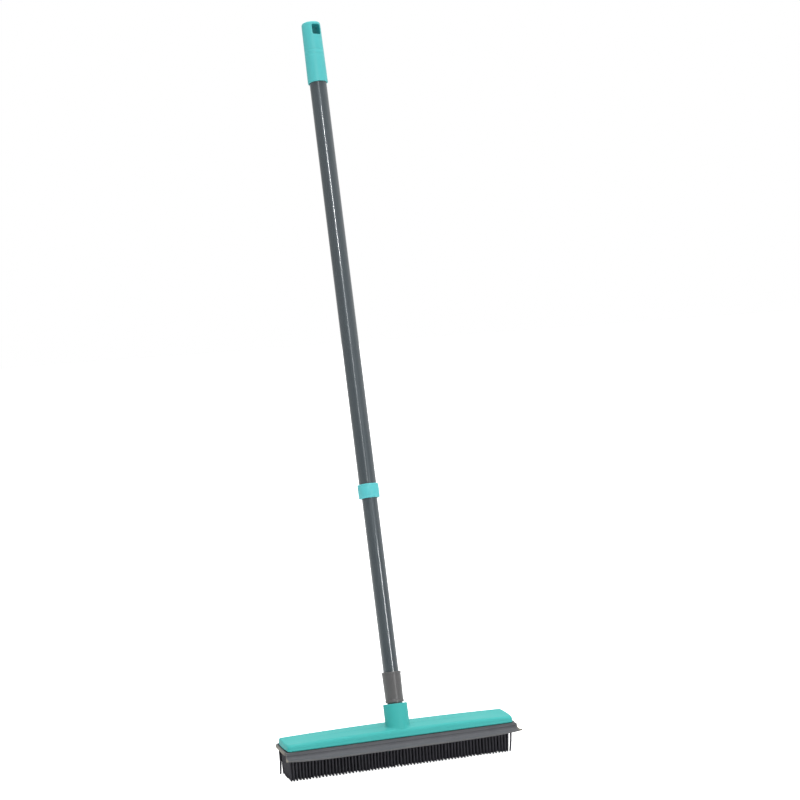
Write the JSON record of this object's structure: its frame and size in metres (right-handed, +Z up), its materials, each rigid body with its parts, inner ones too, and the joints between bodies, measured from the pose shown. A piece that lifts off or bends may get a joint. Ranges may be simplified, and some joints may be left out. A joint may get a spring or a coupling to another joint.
{
  "type": "rubber carpet brush with telescopic pole",
  "caption": "Carpet brush with dense soft rubber bristles and a squeegee lip under an arched plastic head, on a leaning two-part steel pole with a twist lock and a hanging cap.",
  "frame": {"origin": "under the middle of the bristle field, on the plane of the bristle tips", "axes": "+Z up, X along the head, squeegee lip on the -Y side, pole leaning back towards +Y"},
  "size_m": [0.316, 0.2773, 0.9585],
  "materials": {
    "turquoise_plastic": "satin moulded polypropylene",
    "grey_rubber": "matte",
    "dark_rubber": "matte, slightly satin on the tips",
    "grey_plastic": "plain moulded",
    "adapter_plastic": "fine matte texture",
    "tube_paint": "glossy grey paint on steel tube",
    "nylon": "plain natural nylon",
    "zinc_steel": "bright zinc"
  },
  "bodies": {
    "head": {"head_shell": "turquoise_plastic", "squeegee_rim": "grey_rubber", "bristle_block": "dark_rubber", "clamp_plate": "grey_plastic", "clamp_screw_1": "zinc_steel", "clamp_screw_2": "zinc_steel", "clamp_screw_3": "zinc_steel", "clamp_screw_4": "zinc_steel", "clamp_screw_5": "zinc_steel", "clamp_screw_6": "zinc_steel"},
    "lower_pole": {"thread_adapter": "adapter_plastic", "lower_tube": "tube_paint", "lock_plug": "nylon", "cam_retainer": "nylon"},
    "lock_ring": {"lock_cam": "nylon"},
    "guide": {"guide_bush": "nylon"},
    "upper_pole": {"twist_collar": "turquoise_plastic", "upper_tube": "tube_paint", "hanging_cap": "turquoise_plastic"}
  },
  "joints": [
    {"name": "pole_screw", "type": "hinge", "parent": "head", "child": "lower_pole", "pos_m": [0, -0.0083, 0.0396], "axis": [0, 0.2504, 0.9681], "range_deg": [0, 1800]},
    {"name": "telescope", "type": "slide", "parent": "lower_pole", "child": "guide", "axis": [0, 0.2504, 0.9681], "range_m": [-0.222, 0.24]},
    {"name": "twist_lock", "type": "hinge", "parent": "guide", "child": "upper_pole", "pos_m": [0, -0.0083, 0.0396], "axis": [0, 0.2504, 0.9681], "range_deg": [0, 90]},
    {"name": "cam_turn", "type": "hinge", "parent": "lower_pole", "child": "lock_ring", "pos_m": [0.00045, -0.0083, 0.0396], "axis": [0, 0.2504, 0.9681], "range_deg": [0, 90]}
  ],
  "couplings": [
    {"joint": "cam_turn", "follows": "twist_lock", "ratio": 1}
  ]
}
